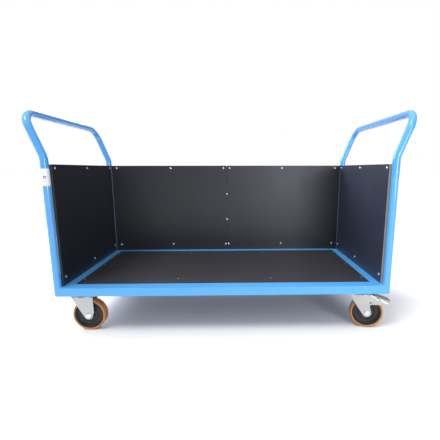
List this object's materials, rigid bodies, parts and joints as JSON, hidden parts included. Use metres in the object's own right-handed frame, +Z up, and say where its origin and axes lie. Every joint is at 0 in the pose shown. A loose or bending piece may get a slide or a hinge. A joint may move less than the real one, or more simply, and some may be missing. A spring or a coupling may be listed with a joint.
{
  "type": "platform truck",
  "caption": "Steel platform truck with tubular push handles, swivel castors, a plywood deck and plywood walls on the ends and back, open at the front.",
  "frame": {"origin": "on the floor under the middle of the frame, at the centre of the overall bounding box", "axes": "+X to the right along the length, +Y from the open front to the back wall, +Z up"},
  "size_m": [1.7506, 0.8, 1.0578],
  "materials": {
    "blue_paint": "glossy light blue powder coat",
    "film_faced_ply": "black phenolic film with a light satin sheen, bare plies at the cut edges",
    "zinc": "bright zinc plate",
    "zinc_screw": "bright zinc plate",
    "wheel_core": "moulded black nylon",
    "bearing": "polished bearing ring",
    "tread": "amber orange cast polyurethane, satin",
    "brake_pad": "black moulded rubber",
    "sticker": "plain white vinyl sticker"
  },
  "bodies": {
    "frame": {"back_centre_post": "blue_paint", "back_top_rail": "blue_paint", "back_wall_cleats": "blue_paint", "back_wall_left": "film_faced_ply", "back_wall_right": "film_faced_ply", "back_wall_screws": "zinc_screw", "castor_bolts": "zinc_screw", "castor_plate_front_left": "zinc", "castor_plate_front_right": "zinc", "castor_plate_rear_left": "zinc", "castor_plate_rear_right": "zinc", "corner_plates": "blue_paint", "deck_panel": "film_faced_ply", "deck_screws": "zinc_screw", "front_beam": "blue_paint", "label": "sticker", "left_cross_member": "blue_paint", "left_deck_ledge": "blue_paint", "left_end_beam": "blue_paint", "left_end_rail": "blue_paint", "left_handle": "blue_paint", "left_wall": "film_faced_ply", "left_wall_cleats": "blue_paint", "left_wall_screws": "zinc_screw", "rear_beam": "blue_paint", "right_cross_member": "blue_paint", "right_deck_ledge": "blue_paint", "right_end_beam": "blue_paint", "right_end_rail": "blue_paint", "right_handle": "blue_paint", "right_wall": "film_faced_ply", "right_wall_cleats": "blue_paint", "right_wall_screws": "zinc_screw"},
    "fork_front_left": {"fork_front_left": "zinc", "axle_front_left": "zinc_screw"},
    "wheel_front_left": {"wheel_core_front_left": "wheel_core", "wheel_bearing_front_left": "bearing", "wheel_tread_front_left": "tread"},
    "fork_front_right": {"fork_front_right": "zinc", "axle_front_right": "zinc_screw"},
    "wheel_front_right": {"wheel_core_front_right": "wheel_core", "wheel_bearing_front_right": "bearing", "wheel_tread_front_right": "tread"},
    "pedal_front_right": {"brake_pedal_front_right": "zinc", "brake_shoe_front_right": "brake_pad"},
    "fork_rear_left": {"fork_rear_left": "zinc", "axle_rear_left": "zinc_screw"},
    "wheel_rear_left": {"wheel_core_rear_left": "wheel_core", "wheel_bearing_rear_left": "bearing", "wheel_tread_rear_left": "tread"},
    "fork_rear_right": {"fork_rear_right": "zinc", "axle_rear_right": "zinc_screw"},
    "wheel_rear_right": {"wheel_core_rear_right": "wheel_core", "wheel_bearing_rear_right": "bearing", "wheel_tread_rear_right": "tread"},
    "pedal_rear_right": {"brake_pedal_rear_right": "zinc", "brake_shoe_rear_right": "brake_pad"}
  },
  "joints": [
    {"name": "swivel_front_left", "type": "hinge", "parent": "frame", "child": "fork_front_left", "pos_m": [-0.698, -0.305, 0.175], "axis": [0, 0, 1], "continuous": true},
    {"name": "roll_front_left", "type": "hinge", "parent": "fork_front_left", "child": "wheel_front_left", "pos_m": [-0.674, -0.305, 0.08], "axis": [0, 1, 0], "continuous": true},
    {"name": "swivel_front_right", "type": "hinge", "parent": "frame", "child": "fork_front_right", "pos_m": [0.698, -0.305, 0.175], "axis": [0, 0, 1], "continuous": true},
    {"name": "roll_front_right", "type": "hinge", "parent": "fork_front_right", "child": "wheel_front_right", "pos_m": [0.72148, -0.30999, 0.08], "axis": [0.2079, 0.9781, 0], "continuous": true},
    {"name": "brake_front_right", "type": "hinge", "parent": "fork_front_right", "child": "pedal_front_right", "pos_m": [0.78039, -0.32251, 0.1462], "axis": [0.2079, 0.9781, 0], "range_deg": [0, 11]},
    {"name": "swivel_rear_left", "type": "hinge", "parent": "frame", "child": "fork_rear_left", "pos_m": [-0.698, 0.305, 0.175], "axis": [0, 0, 1], "continuous": true},
    {"name": "roll_rear_left", "type": "hinge", "parent": "fork_rear_left", "child": "wheel_rear_left", "pos_m": [-0.674, 0.305, 0.08], "axis": [0, 1, 0], "continuous": true},
    {"name": "swivel_rear_right", "type": "hinge", "parent": "frame", "child": "fork_rear_right", "pos_m": [0.698, 0.305, 0.175], "axis": [0, 0, 1], "continuous": true},
    {"name": "roll_rear_right", "type": "hinge", "parent": "fork_rear_right", "child": "wheel_rear_right", "pos_m": [0.722, 0.305, 0.08], "axis": [0, 1, 0], "continuous": true},
    {"name": "brake_rear_right", "type": "hinge", "parent": "fork_rear_right", "child": "pedal_rear_right", "pos_m": [0.78223, 0.305, 0.1462], "axis": [0, 1, 0], "range_deg": [0, 11]}
  ]
}
